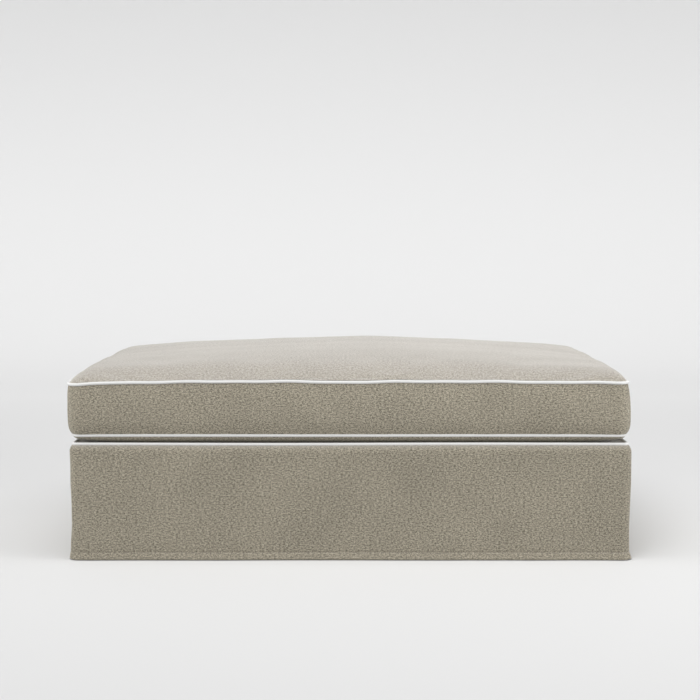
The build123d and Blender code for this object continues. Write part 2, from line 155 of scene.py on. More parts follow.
def apply_modifier(piece, name, kind, **settings):
    modifier = piece.modifiers.new(name, kind)
    for key, value in settings.items():
        setattr(modifier, key, value)
    only(piece)
    bpy.ops.object.modifier_apply(modifier=modifier.name)
    return piece


def thicken(piece, thickness, inward=True):
    offset = -1 if inward else 0
    return apply_modifier(piece, "cloth thickness", "SOLIDIFY", thickness=thickness, offset=offset)


def refine(piece):
    return apply_modifier(piece, "smooth cloth", "SUBSURF", levels=1, render_levels=1)


def smooth_shade(piece, angle=60):
    only(piece)
    bpy.ops.object.shade_smooth_by_angle(angle=math.radians(angle))
    return piece


def edit(piece, *steps, whole=True):
    # Runs mesh operators, each on the whole mesh or else on what is selected in it
    only(piece)
    bpy.ops.object.mode_set(mode="EDIT")
    for operator, settings in steps:
        if whole:
            bpy.ops.mesh.select_all(action="SELECT")
        operator(**settings)
    bpy.ops.object.mode_set(mode="OBJECT")
    return piece


# %% [markdown]
# A length of cloth starts as a flat grid, as it comes off the roll. Its flat size is kept as its UV map in
# metres, so the weave has the same scale everywhere and follows the cloth when it bends.


# %% Cut a flat piece of cloth and lay it in its place
def cut_cloth(name, columns, rows):
    only()
    bpy.ops.mesh.primitive_grid_add(x_subdivisions=columns, y_subdivisions=rows, size=1)
    return named(bpy.context.object, name)


def lay_weave(piece, across, along):
    # across and along hold the flat place of each point, in metres
    layer = piece.data.uv_layers[0] if piece.data.uv_layers else piece.data.uv_layers.new(name="weave")
    layer.name = "weave"
    corners = np.empty(len(piece.data.loops), np.int32)
    piece.data.loops.foreach_get("vertex_index", corners)
    flat = np.stack([np.asarray(across).ravel()[corners], np.asarray(along).ravel()[corners]], 1)
    layer.data.foreach_set("uv", flat.astype(np.float32).ravel())


def faces_outward(piece, centre=(0, 0, 0.2)):
    # Turns the mesh over if most of its area faces the middle of the object
    faces = piece.data.polygons
    normals, centres, areas = np.empty(len(faces) * 3), np.empty(len(faces) * 3), np.empty(len(faces))
    for key, values in (("normal", normals), ("center", centres), ("area", areas)):
        faces.foreach_get(key, values)
    away = ((centres.reshape(-1, 3) - np.array(centre)) * normals.reshape(-1, 3)).sum(1)
    if (away * areas).sum() < 0:
        edit(piece, (bpy.ops.mesh.flip_normals, {}))
    return piece


def lay_cloth(name, points, across, along, centre=(0, 0, 0.2)):
    # points is a grid of places, and across and along fit its rows and columns
    rows, columns = points.shape[:2]
    piece = write_points(cut_cloth(name, columns - 1, rows - 1), points)
    lay_weave(piece, np.broadcast_to(across, (rows, columns)), np.broadcast_to(along, (rows, columns)))
    return faces_outward(piece, centre)


# %% [markdown]
# The rim of the cushion or the base is walked once, starting in the middle of the front left corner and
# going round by the front, right, back and left. Every stop has a place on the core rectangle and an
# outward direction.

# %% Walk round a rim
corner_steps = 12
straight_step = 12.5 * mm


def lengths_along(line):
    steps = np.linalg.norm(np.diff(line, axis=0), axis=1)
    return np.concatenate([[0], np.cumsum(steps)])


def rim_walk(core, reach):
    counts = [round(2 * size / straight_step) for size in core]
    corners = [(-core[0], -core[1]), (core[0], -core[1]), (core[0], core[1]), (-core[0], core[1])]
    half, turn = corner_steps // 2, 90 / corner_steps
    stops = []
    for side, angle in enumerate((270, 0, 90, 180)):
        start, end, count = corners[side], corners[(side + 1) % 4], counts[side % 2]
        stops += [(start, angle - turn * (half - step)) for step in range(half)]
        side_run = np.subtract(end, start)
        stops += [(tuple(np.add(start, side_run * step / count)), angle) for step in range(count)]
        stops += [(end, angle + turn * step) for step in range(half)]
    places = np.array([place for place, angle in stops])
    angles = np.radians([angle for place, angle in stops])
    outward = np.stack([np.cos(angles), np.sin(angles)], 1)
    line = places + outward * reach
    return {
        "places": places,
        "outward": outward,
        "along": lengths_along(np.vstack([line, line[:1]])),
        "wide": counts[0] + corner_steps,
        "deep": counts[1] + corner_steps,
    }


cushion_rim = rim_walk(cushion_core, cushion_corner)
base_rim = rim_walk(base_core, base_corner)
wide, deep, total = cushion_rim["wide"], cushion_rim["deep"], len(cushion_rim["places"])
print("stops round the cushion", total, "length", round(cushion_rim["along"][-1], 3), "m")


# %% Find values and places along a rim
def at(values, stops):
    # Between two stops of a rim a value is blended from both
    low = np.floor(stops).astype(int)
    share = (stops - low).reshape((-1,) + (1,) * (values.ndim - 1))
    return values[low % len(values)] * (1 - share) + values[(low + 1) % len(values)] * share


def length_at(rim, stops):
    count = len(rim["places"])
    return np.interp(stops % count, np.arange(count + 1), rim["along"]) + rim["along"][-1] * (stops // count)


def rim_line(rim, reach, height, draw=0.0):
    flat = rim["places"] + rim["outward"] * (np.zeros(len(rim["places"])) + reach - draw)[:, None]
    return np.column_stack([flat, np.zeros(len(flat)) + height])


# %% [markdown]
# Nothing sewn is quite straight. The seams of this cushion sink a few millimetres at the front corners, and
# its sides draw in a little between the corners, where the boxing has less to hold it. Slow waves made of a
# few sines give that, and they are the same on every run.


# %% Slow waves along a seam
def waves(along, length, sizes, shifts):
    turns = 2 * np.pi * np.asarray(along) / length
    numbered = enumerate(zip(sizes, shifts), 1)
    return sum(size * np.sin(number * turns + shift) for number, (size, shift) in numbered)


def corner_nearness(rim):
    # 1 in the corners, 0 along the middle of the sides
    places = np.abs(rim["places"])
    return (places / places.max(0)).min(1) ** 8


corner_sink_left, corner_sink_right = 6.5 * mm, 2.5 * mm
side_draw_in, back_draw_in = 2.0 * mm, 2.0 * mm
lean_at_top, cushion_shift = -3.2 * mm, -2.4 * mm
seam_sink = 1.8 * mm
top_waves = ((0.8 * mm, 71 * mm, 1.9), (0.7 * mm, 38 * mm, 0.6), (0.4 * mm, 19 * mm, 0))
bottom_waves = ((0.0, 0.0, 0.2 * mm, 0.3 * mm, 0.3 * mm), (0, 0, 1.7, 4.2, 0.3))
cushion_near = corner_nearness(cushion_rim)
cushion_along, cushion_length = cushion_rim["along"][:-1], cushion_rim["along"][-1]
leftness = 0.5 - 0.5 * cushion_rim["places"][:, 0] / cushion_core[0]
corner_sink = corner_sink_right + (corner_sink_left - corner_sink_right) * leftness
top_wave = sum(size * np.sin(cushion_along / length + shift) for size, length, shift in top_waves)
top_line_height = top_seam - seam_sink - corner_sink * cushion_near + top_wave * (1 - cushion_near)
bottom_line_height = bottom_seam + waves(cushion_along, cushion_length, *bottom_waves)
at_back = np.clip(cushion_rim["outward"][:, 1], 0, 1)
cushion_draw = side_draw_in * (1 - cushion_near) * (1 - 0.75 * at_back) + back_draw_in * at_back


# %% [markdown]
# ## Cushion
# The top panel is stretched over a crowned foam block. From its seam it climbs steeply over the foam's
# rounded edge and then swells slowly to the middle. The rise is a rule of the distance in from the seam,
# added to a broad dome. Towards the ends of the cushion the climb is a little steeper.

# %% Shape rules of the cushion
crown_rise = crown_top - top_seam - 2.0 * mm
shoulder_rise, shoulder_run = 27 * mm, 56 * mm
steeper_left, steeper_right = 0.12, 0.24
steep_from, steep_over = 0.35, 0.25
dome_shift = 22 * mm
dome_power_left, dome_power_right, dome_power_deep = 1.42, 1.8, 3.1
boxing_widest_share, boxing_swell = 0.40, 1.2 * mm


def inside_distance(x, y, core, reach):
    over_x = np.abs(x) - core[0]
    over_y = np.abs(y) - core[1]
    outside = np.hypot(np.maximum(over_x, 0), np.maximum(over_y, 0))
    return reach - outside - np.minimum(np.maximum(over_x, over_y), 0)


def shoulder_share(distance, run):
    return 1 - (1 - np.clip(distance / run, 0, 1)) ** 2


def crown_height(x, y):
    on_left = x < dome_shift
    half_wide = cushion_core[0] + top_reach + np.where(on_left, dome_shift, -dome_shift)
    x_share = np.clip(np.abs(x - dome_shift) / half_wide, 0, 1)
    y_share = np.clip(np.abs(y) / (cushion_core[1] + top_reach), 0, 1)
    dome_power = np.where(on_left, dome_power_left, dome_power_right)
    dome = (1 - x_share**dome_power) * (1 - y_share**dome_power_deep)
    near_end = np.clip((np.abs(x) - steep_from) / steep_over, 0, 1)
    run = shoulder_run * (1 - np.where(x < 0, steeper_left, steeper_right) * near_end)
    shoulder = shoulder_share(inside_distance(x, y, cushion_core, top_reach), run)
    return shoulder_rise * shoulder + (crown_rise - shoulder_rise) * dome


def boxing_reach(share):
    # Almost upright, swelling a little at the middle and tucked in sharply to the lower seam
    share = np.asarray(share, float)
    below = np.clip(1 - share / boxing_widest_share, 0, 1)
    above = np.clip((share - boxing_widest_share) / (1 - boxing_widest_share), 0, 1)
    widest = cushion_corner + boxing_swell
    return widest - (widest - bottom_reach) * below**5 - (widest - top_reach) * above**3


def lean(points, share):
    # The loose cushion lies a few millimetres to the left and leans a little more at its top seam
    points[..., 0] += cushion_shift + lean_at_top * np.clip(share, 0, 1) ** 2
    return points


# %% [markdown]
# A panel that fills a rounded rectangle is a grid pulled to its outline: the four sides are set first, and
# each inner point is blended from the sides, so the threads run straight and only turn near corners.


# %% Fill an outline with cloth
def panel_points(rim, line):
    wide, deep = rim["wide"], rim["deep"]
    line = np.vstack([line, line[:1]])
    front = line[: wide + 1]
    right = line[wide : wide + deep + 1]
    back = line[wide + deep : 2 * wide + deep + 1][::-1]
    left = line[2 * wide + deep : 2 * wide + 2 * deep + 1][::-1]
    u = np.linspace(0, 1, wide + 1)[None, :, None]
    v = np.linspace(0, 1, deep + 1)[:, None, None]
    sides = (1 - v) * front[None] + v * back[None] + (1 - u) * left[:, None] + u * right[:, None]
    corners = (1 - u) * (1 - v) * front[0] + u * (1 - v) * front[-1]
    corners = corners + (1 - u) * v * back[0] + u * v * back[-1]
    return (sides - corners).reshape(-1, line.shape[1])


def sew_panel(name, rim, line):
    points = panel_points(rim, line)
    grid = points.reshape(rim["deep"] + 1, rim["wide"] + 1, 3)
    return lay_cloth(name, grid, grid[..., 0], grid[..., 1]), points


# %% Join points into faces
def new_mesh(name, points, faces):
    mesh = bpy.data.meshes.new(name)
    mesh.from_pydata(np.asarray(points).tolist(), [], faces)
    return only(add_object(name, mesh))


def grid_faces(first, turned=False):
    # The faces of a grid that fills the cushion's rim
    faces = []
    for row in range(deep):
        for column in range(wide):
            a = first + row * (wide + 1) + column
            face = [a, a + 1, a + wide + 2, a + wide + 1]
            faces.append(face[::-1] if turned else face)
    return faces


def edge_loop(columns, rows, first=0):
    # The points round the edge of a grid, in order
    grid = first + np.arange((rows + 1) * (columns + 1)).reshape(rows + 1, columns + 1)
    return np.concatenate([grid[0, :-1], grid[:-1, -1], grid[-1, :0:-1], grid[:0:-1, 0]]).tolist()


def tray_faces(rings):
    # Strips between rings that go round the whole rim, and last to the edge of a grid, and that grid
    loops = [[number * total + stop for stop in range(total)] for number in range(rings)]
    loops.append(edge_loop(wide, deep, rings * total))
    faces = []
    for outer, inner in zip(loops, loops[1:]):
        faces += [[outer[a], outer[a - 1], inner[a - 1], inner[a]] for a in range(total)]
    return faces + grid_faces(rings * total, True)


# %% [markdown]
# The air and the fibres in a cushion press its cover out, and only the seams hold it back. So each panel is
# let go in a short cloth simulation: its edge is held by the seams, a little pressure acts from inside, and
# it has a little more cloth than it needs. What it finds is small soft unevenness that no rule gives. No
# point may go far.

# %% Let a panel settle
settle_frames = 20


def settle(piece, columns, rows, pressure, spare, furthest):
    before = read_points(piece)
    seam = piece.vertex_groups.new(name="held by seam")
    seam.add(edge_loop(columns, rows), 1.0, "ADD")
    only(piece)
    bpy.ops.object.modifier_add(type="CLOTH")
    cloth = piece.modifiers[-1]
    cloth.settings.quality = 6
    cloth.settings.mass = 0.2
    cloth.settings.tension_stiffness = cloth.settings.compression_stiffness = 12
    cloth.settings.bending_stiffness = 0.6
    cloth.settings.vertex_group_mass = seam.name
    cloth.settings.use_pressure = True
    cloth.settings.uniform_pressure_force = pressure
    cloth.settings.shrink_min = -spare
    cloth.settings.effector_weights.gravity = 0
    cloth.collision_settings.use_collision = False
    cloth.point_cache.frame_start, cloth.point_cache.frame_end = 1, settle_frames
    for frame in range(1, settle_frames + 1):
        bpy.context.scene.frame_set(frame)
    bpy.ops.object.modifier_apply(modifier=cloth.name)
    bpy.context.scene.frame_set(1)
    piece.vertex_groups.clear()
    move = read_points(piece) - before
    size = np.linalg.norm(move, axis=1, keepdims=True)
    mean, most = round(float(size.mean()) / mm, 2), round(float(size.max()) / mm, 2)
    print(piece.name, "settled", mean, "mm, at most", most)
    return write_points(piece, before + move * np.minimum(1, furthest / np.maximum(size, 1e-9)))


# %% Top panel
puckers, pucker_reach = 0.5 * mm, 18 * mm
top_line = rim_line(cushion_rim, top_reach - 1.5 * mm, top_line_height, cushion_draw)
top_cover, points = sew_panel("cushion_top_panel", cushion_rim, top_line)
x, y = points[:, 0], points[:, 1]
rise = crown_height(x, y)
pull = np.exp(-inside_distance(x, y, cushion_core, top_reach) / pucker_reach)
small = np.sin(x / (23 * mm)) * np.sin(y / (27 * mm) + 1) + np.sin(np.arctan2(y, x) * 97)
points[:, 2] += rise + puckers * pull * small * np.clip(rise / shoulder_rise, 0, 1)
lean(points, 1 - 0.7 * np.clip(rise / crown_rise, 0, 1))
write_points(top_cover, points)
settle(top_cover, wide, deep, pressure=0.03, spare=0.0015, furthest=2 * mm)
refine(top_cover)
print("crown at", round(float(read_points(top_cover)[:, 2].max()), 4))

# %% [markdown]
# The boxing is the band round the side. It is one strip across the front, one round each end, and two
# narrow strips along the back that are joined by the zip. Each strip follows the swell of the foam between
# the two seams.

# %% Shape of a boxing strip
stitch_tuck = 2.2 * mm
boxing_rows, back_rows = 12, 6


def seamed_stops(first, last):
    # Close to each seam stands one more stop, so that the cloth dives into the seam in a narrow groove
    near = 0.3
    return np.concatenate([[first, first + near], np.arange(first + 1, last), [last - near, last]])


def seam_groove(count):
    groove = np.zeros(count)
    groove[[0, -1]], groove[[1, -2]] = 1.0, 0.12
    return groove


def boxing_strip(name, stops, low=0.0, high=1.0, rows=boxing_rows):
    level = np.linspace(0, 1, rows + 1)[:, None] ** (1.5 if np.all(low == 0) else 1)
    share = (low + (high - low) * level) * np.ones(len(stops))
    bottom, top = at(bottom_line_height, stops), at(top_line_height, stops)
    height = bottom + (top - bottom) * share
    reach = boxing_reach(share) - at(cushion_draw, stops) - stitch_tuck * seam_groove(len(stops))
    flat = at(cushion_rim["places"], stops) + at(cushion_rim["outward"], stops) * reach[..., None]
    points = lean(np.concatenate([flat, height[..., None]], 2), share)
    piece = lay_cloth(name, points, length_at(cushion_rim, stops), share * boxing_depth)
    if np.all(low == 0) and np.all(high == 1):
        settle(piece, len(stops) - 1, rows, pressure=0.25, spare=0.003, furthest=1.5 * mm)
    return refine(piece)


# %% Front and end boxing
half_corner = corner_steps // 2
seam_steps, return_steps = 2, 2
front_end = wide + seam_steps
right_end = wide + deep + half_corner + return_steps
left_start = 2 * wide + deep - half_corner - return_steps
boxing = {}
for side, first, last in (
    ("front", -seam_steps, front_end),
    ("right", front_end, right_end),
    ("left", left_start, total - seam_steps),
):
    boxing[side] = boxing_strip(f"cushion_{side}_boxing", seamed_stops(first, last))

# %% Back boxing
# The two back strips stand apart along the zip and are sewn together beyond its ends
zip_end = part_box("upper_zip_tape")[1].x + 1 * mm
opening_half, joint_half = 4.1 * mm, 0.15 * mm
back_stop = wide + deep + half_corner
stops_a_metre = (wide - corner_steps) / (2 * cushion_core[0])
zip_ends = [side * (zip_end + beyond) for side in (1, -1) for beyond in (0, 1.5 * mm)]
end_stops = [back_stop + (cushion_core[0] - place) * stops_a_metre for place in zip_ends]
back_stops = np.union1d(seamed_stops(right_end, left_start), end_stops)
along_zip = np.abs(at(cushion_rim["places"], back_stops)[:, 0]) < zip_end + 0.1 * mm
opening = np.where(along_zip, opening_half, joint_half) / boxing_depth
zip_share = seam_share(zip_height)
lower_back = boxing_strip("cushion_lower_back_boxing", back_stops, 0.0, zip_share - opening, back_rows)
upper_back = boxing_strip("cushion_upper_back_boxing", back_stops, zip_share + opening, 1.0, back_rows)
boxing |= {"upper_back": upper_back, "lower_back": lower_back}
print("boxing strips made", [piece.name for piece in boxing.values()])

# %% [markdown]
# Below the lower seam the cover rolls under the foam, and at the corners it lifts a little off the base,
# where the foam is cut round. The rolled edge is made of rings that follow a quarter of an ellipse down
# from the seam.

# %% Bottom panel
underside_run, underside_drop = 34 * mm, 20 * mm
underband_swell = 2.2 * mm
corner_lift = 6 * mm
ring_turns = np.radians((0, 9, 20, 32, 44, 56, 68, 79, 90))


def underside(inset=0.0):
    rings = []
    for turn in ring_turns:
        floor = cushion_floor + corner_lift * cushion_near**2 + inset
        swell = underband_swell * math.sin(2 * turn)
        reach = bottom_reach - inset - underside_run * (1 - math.cos(turn)) + swell
        height = bottom_line_height - (bottom_line_height - floor) * math.sin(turn)
        rings.append(lean(rim_line(cushion_rim, reach, height, cushion_draw), 0))
    return np.vstack([*rings[:-1], panel_points(cushion_rim, rings[-1])]), len(rings) - 1


points, rings = underside()
bottom_cover = new_mesh("cushion_bottom_panel", points, tray_faces(rings))
profile = np.column_stack([underside_run * np.cos(ring_turns), -underside_drop * np.sin(ring_turns)])
unrolled = lengths_along(profile)
reach = bottom_reach - underside_run + unrolled[-1] - unrolled[:rings]
rolled = cushion_rim["places"] + cushion_rim["outward"] * reach[:, None, None]
flat_places = np.vstack([rolled.reshape(-1, 2), points[rings * total :, :2]])
lay_weave(bottom_cover, flat_places[:, 0], flat_places[:, 1])
refine(faces_outward(bottom_cover, (0, 0, 0.35)))
print("rings under the cushion", rings)

# %% [markdown]
# ## Piping
# Piping is a cord wrapped in a strip of white cloth cut on the bias, and caught in the seam. It is drawn as
# a curve along the seam and given a round section, then turned into a mesh.


# %% Run a cord along a line
def cord(name, line, radius, roundness, closed, angle):
    curve = bpy.data.curves.new(name, "CURVE")
    curve.dimensions = "3D"
    spline = curve.splines.new("POLY")
    spline.points.add(len(line) - 1)
    spline.points.foreach_set("co", np.column_stack([line, np.ones(len(line))]).ravel())
    spline.use_cyclic_u, curve.use_fill_caps = closed, not closed
    curve.bevel_depth, curve.bevel_resolution = radius, roundness
    only(add_object(name, curve))
    bpy.ops.object.convert(target="MESH")
    return smooth_shade(named(bpy.context.object, name), angle)


base_near = corner_nearness(base_rim)
base_along, base_length = base_rim["along"][:-1], base_rim["along"][-1]
rim_waves = ((0.0, 0.0, 0.3 * mm, 0.0, 0.3 * mm), (0, 0, 2.7, 0, 1.1))
rim_height = rim_seam + waves(base_along, base_length, *rim_waves)
seam_lines = {
    "top": lean(rim_line(cushion_rim, top_reach, top_line_height, cushion_draw), 1),
    "bottom": lean(rim_line(cushion_rim, bottom_reach, bottom_line_height, cushion_draw), 0),
    "base": rim_line(base_rim, rim_reach, rim_height),
}
piping_names = {"top": "cushion_top_piping", "bottom": "cushion_bottom_piping", "base": "cover_rim_piping"}
piping = {}
for seam, line in seam_lines.items():
    piping[seam] = cord(piping_names[seam], line, piping_radius, roundness=4, closed=True, angle=60)
    print(piping_names[seam], round(float(lengths_along(np.vstack([line, line[:1]]))[-1]), 3), "m")

# %% [markdown]
# ## Slipcover of the base
# The skirt is four flat panels that are joined at the corners and hang from the piped rim to the floor. At
# the top the cloth bends over the edge of the padding. Below it hangs free, so it wavers by a millimetre or
# two, and at the bottom it is folded inwards and stitched as a hem.

# %% Skirt section from the piping to the inside of the hem
hem_depth, fold_turn = 18 * mm, 1.1 * mm
hem_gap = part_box("front_skirt")[0].z - 1.2 * mm
stitch_height = hem_gap + hem_depth - 1 * mm
near_stitches = (-6, -3.2, -1.4, 0, 1.4, 3.2, 6)
bend_height, bend_part = deck_top - 20 * mm, 0.86
flare = 1.5 * mm
bend_rows, hang_rows, hem_rows = 6, 22, 4


def skirt_section():
    # Rows of (reach, height, how far down the cloth hangs free)
    face_reach = base_corner - flare
    drop, inset = rim_seam - bend_height, face_reach - rim_reach
    radius = (inset**2 + drop**2) / (2 * inset)
    rows = []
    for angle in np.linspace(math.asin(drop / radius) * bend_part, 0, bend_rows + 1):
        reach = face_reach - radius + radius * math.cos(angle)
        rows.append((reach, bend_height + radius * math.sin(angle), 0.0))
    heights = [bend_height + (hem_gap - bend_height) * step / hang_rows for step in range(1, hang_rows + 1)]
    heights = [height for height in heights if abs(height - stitch_height) > near_stitches[-1] * mm]
    heights += [stitch_height + step * mm for step in near_stitches]
    for height in sorted(heights, reverse=True):
        share = (bend_height - height) / (bend_height - hem_gap)
        rows.append((face_reach + flare * share, height, share))
    rows.append((base_corner - fold_turn, hem_gap - 0.2 * mm, 1.0))
    for step in range(hem_rows + 1):
        height = hem_gap + fold_turn + (hem_depth - fold_turn) * step / hem_rows
        rows.append((base_corner - 2 * fold_turn, height, 1.0))
    return np.array(rows)


section = skirt_section()
section_length = lengths_along(section[:, :2])
print("skirt cut", round(float(section_length[-1]), 4), "m long with its hem")

# %% How the skirt departs from straight
# The corner folds are in millimetres at each height. Each soft fold has its place along the side in metres,
# how far down it is strongest, its spread in millimetres and its size in millimetres
fold_heights = (0.003, 0.011, 0.019, 0.034, 0.057, 0.080, 0.127, 0.173, 0.225, 0.262)
left_corner_fold = (0.3, 0.7, 1.4, 0.2, -1.9, -3.8, -3.8, -1.9, -1.9, 0.0)
right_corner_fold = (2.8, 1.4, 0.6, -0.6, -1.5, -2.0, -1.2, 0.0, 0.0, 0.0)
soft_folds = (
    (-0.30, 0.5, 90, 1.3),
    (-0.02, 0.45, 120, -1.2),
    (0.20, 0.6, 80, 1.1),
    (0.43, 0.7, 60, 1.2),
    (0.548, 0.15, 22, -2.6),
    (0.592, 0.10, 18, 3.4),
    (-0.60, 0.7, 30, 1.0),
)
front_width, front_to_side = 1.3, 1.55


def skirt_swing(places, height, free, near):
    # Outwards: a fold that draws the corners in and flares at the hem, and soft upright folds between
    leftness = np.clip(0.5 - places[:, 0] / front_width, 0, 1)
    left = np.interp(height, fold_heights, left_corner_fold)
    right = np.interp(height, fold_heights, right_corner_fold)
    swing = near * (left * leftness + right * (1 - leftness))
    run = np.where(np.abs(places[:, 1]) > 0.35, places[:, 0], places[:, 1] * front_to_side)
    for middle, level, spread, size in soft_folds:
        reach = np.exp(-(((run - middle) * 1000 / spread) ** 2))
        fade = (1 - free) ** 0.7 * np.clip(free * 12, 0, 1) if level < 0.3 else free**0.8
        swing = swing + size * reach * fade * (1 - 0.7 * near)
    return swing * mm


# %% Place the cloth of a skirt panel
# The rails end in square corners, and the skirt is tight over them. Below them it is free to draw in
rail_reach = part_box("front_rail")[1].x - base_core[0]
cornering = 1 / np.abs(base_rim["outward"]).max(1) - 1
rail_low, rail_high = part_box("rail_wadding")[0].z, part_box("rail_wadding")[1].z
loose_below, loose_above = 45 * mm, 22 * mm
hem_heights = (hem_gap, stitch_height, 45 * mm, 95 * mm)
hem_slope = (0.6 * mm, -2.9 * mm, -1.5 * mm, 0.0)
stitch_dent, stitch_spread = 0.9 * mm, 2.2 * mm
skirt_tuck = 1.9 * mm
skirt_waves = ((0, 0, 0.3 * mm, 0, 0.5 * mm, 0.5 * mm, 0.4 * mm), (0, 0, 0.5, 0, 1.9, 0.3, 2.7))


def skirt_points(stops, section):
    fold, level, free = section[:, 0:1], section[:, 1:2], section[:, 2:3]
    along = length_at(base_rim, stops)
    places, outward = at(base_rim["places"], stops), at(base_rim["outward"], stops)
    near, rim_top = at(base_near, stops), at(rim_height, stops)
    swing = waves(along, base_length, *skirt_waves) + 0.35 * mm * np.sin(along / (61 * mm) + 3 * free)
    swing = swing * free**1.2 * (1 - 0.6 * near) + skirt_swing(places, level, free, near)
    belly = -0.8 * mm * np.sin(np.pi * np.clip(free * 1.4 - 0.35, 0, 1))
    stitch_line = np.exp(-(((level - stitch_height) / stitch_spread) ** 2)) * (free > 0)
    reach = fold + swing + belly + np.interp(level, hem_heights, hem_slope) - stitch_dent * stitch_line
    reach = reach - skirt_tuck * seam_groove(len(stops))
    tight = rail_reach * (1 + at(cornering, stops)) + 2.5 * mm
    spare = (reach + tight + np.sqrt((reach - tight) ** 2 + (0.8 * mm) ** 2)) / 2 - reach
    over_rail = np.clip((level - rail_low + loose_below) / loose_below, 0, 1)
    over_rail = over_rail * np.clip((rail_high + loose_above - level) / loose_above, 0, 1)
    reach = reach + spare * (3 - 2 * over_rail) * over_rail**2
    height = level + (rim_top - rim_seam) * (1 - free)
    return np.concatenate([places + outward * reach[..., None], height[..., None]], 2)


# %% Hang the skirt panels
def skirt_panel(name, first, last):
    stops = seamed_stops(first, last)
    points = skirt_points(stops, section)
    piece = lay_cloth(name, points, length_at(base_rim, stops), -section_length[:, None])
    return thicken(refine(piece), 1.2 * mm)


wide_base, deep_base = base_rim["wide"], base_rim["deep"]
half_round = wide_base + deep_base
skirt_sides = {
    "front": (0, wide_base),
    "right": (wide_base, half_round),
    "back": (half_round, half_round + wide_base),
    "left": (half_round + wide_base, 2 * half_round),
}
skirts = {side: skirt_panel(f"cover_{side}_skirt", *ends) for side, ends in skirt_sides.items()}
print("skirt panels", [piece.name for piece in skirts.values()])

# %% Deck panel
deck_line = rim_line(base_rim, rim_reach - 1.5 * mm, rim_height)
deck_cover, points = sew_panel("cover_deck_panel", base_rim, deck_line)
inward = inside_distance(points[:, 0], points[:, 1], base_core, rim_reach)
points[:, 2] += (deck_top - points[:, 2]) * shoulder_share(inward, 12 * mm)
thicken(refine(write_points(deck_cover, points)), 1.1 * mm)


# %% [markdown]
# ## Stitches
# The hem and the strips beside the zip are sewn through, and each stitch shows as a short thread lying in a
# dent. One stitch is modelled as a small six-sided bar with narrowed ends. It is then copied along the
# seam, each copy turned to follow the line, and all the copies of a seam are kept as one piece.

# %% Model one stitch
thread = 0.55 * mm
stitch_length, stitch_pitch, stitch_lift = 3.4 * mm, 4.6 * mm, 0.3 * mm
only()
bpy.ops.mesh.primitive_cylinder_add(
    vertices=6, radius=thread / 2, depth=stitch_length, end_fill_type="NGON", rotation=(0, math.pi / 2, 0)
)
one_stitch = bpy.context.object
bpy.ops.object.transform_apply(location=False, rotation=True, scale=False)
for cut in (stitch_length * 0.3, -stitch_length * 0.3):
    edit(one_stitch, (bpy.ops.mesh.bisect, {"plane_co": (cut, 0, 0), "plane_no": (1, 0, 0)}))
stitch_points = read_points(one_stitch)
ends = np.abs(stitch_points[:, 0]) > stitch_length * 0.4
stitch_points[ends, 1:] *= 0.45
stitch_points[ends, 2] -= thread * 0.35
stitch_faces = [list(face.vertices) for face in one_stitch.data.polygons]
bpy.data.objects.remove(one_stitch)
print("one stitch has", len(stitch_faces), "faces")


# %% Sew along a line
def sew_along(name, line):
    along = lengths_along(line)
    points, faces = [], []

    def place_at(reached):
        return np.array([np.interp(reached, along, line[:, axis]) for axis in range(3)])

    for stop in np.arange(stitch_pitch / 2, along[-1], stitch_pitch):
        place, front = place_at(stop), place_at(stop + stitch_length / 2)
        direction = (front - place) / np.linalg.norm(front - place)
        out = np.cross(direction, (0, 0, 1))
        out /= np.linalg.norm(out)
        out = out if out[:2] @ place[:2] > 0 else -out
        turn = np.stack([direction, np.cross(out, direction), out])
        first = len(points) * len(stitch_points)
        points.append(stitch_points @ turn + (place + out * stitch_lift))
        faces += [[first + corner for corner in face] for face in stitch_faces]
    return smooth_shade(new_mesh(name, np.concatenate(points), faces), 50)


# %% Hem stitches
hanging = section[: -hem_rows - 2][::-1]
hem_reach = np.interp(stitch_height, hanging[:, 1], hanging[:, 0])
hem_row = np.array([[hem_reach, stitch_height, 1 - stitch_height / bend_height]])
hem_stitches = {}
for side, (first, last) in skirt_sides.items():
    line = skirt_points(np.arange(first, last + 1), hem_row)[0]
    hem_stitches[side] = sew_along(f"cover_{side}_hem_stitches", line[2:-2])
    print(side, "hem has", len(hem_stitches[side].data.polygons) // len(stitch_faces), "stitches")

# %% [markdown]
# ## Zip
# The back boxing is closed by a nylon coil zip. Two woven tapes are sewn behind the strips, and each
# carries a coil: one long thread wound into loops. A curve that runs as a flattened helix gives the coil,
# and its slim round section makes the loops.

# %% Zip tapes
zip_sides = {"upper": 1, "lower": -1}
tape_steps, tape_rows = 112, 6
tape_depth, tape_gap = 3.7 * mm, 1.3 * mm
zip_half = (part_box("upper_zip_tape")[1].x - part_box("upper_zip_tape")[0].x) / 2


def zip_tape(name, node):
    low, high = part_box(node)
    across = np.linspace(low.z, high.z, tape_rows + 1)
    depth = np.minimum(cushion_core[1] + boxing_reach(seam_share(across)) - tape_depth, high.y - tape_gap)
    run = np.linspace(-zip_half, zip_half, tape_steps + 1)
    points = np.array([[(x, y, z) for x in run] for z, y in zip(across, depth)])
    return thicken(lay_cloth(name, points, points[..., 0], points[..., 2]), 0.7 * mm)


zip_tapes = {name: zip_tape(f"zip_{name}_tape", f"{name}_zip_tape") for name in zip_sides}
print("zip tapes", round(2 * zip_half, 3), "m long")

# %% Zip coils
coil_pitch, coil_thread, coil_steps = 1.7 * mm, 0.27 * mm, 8


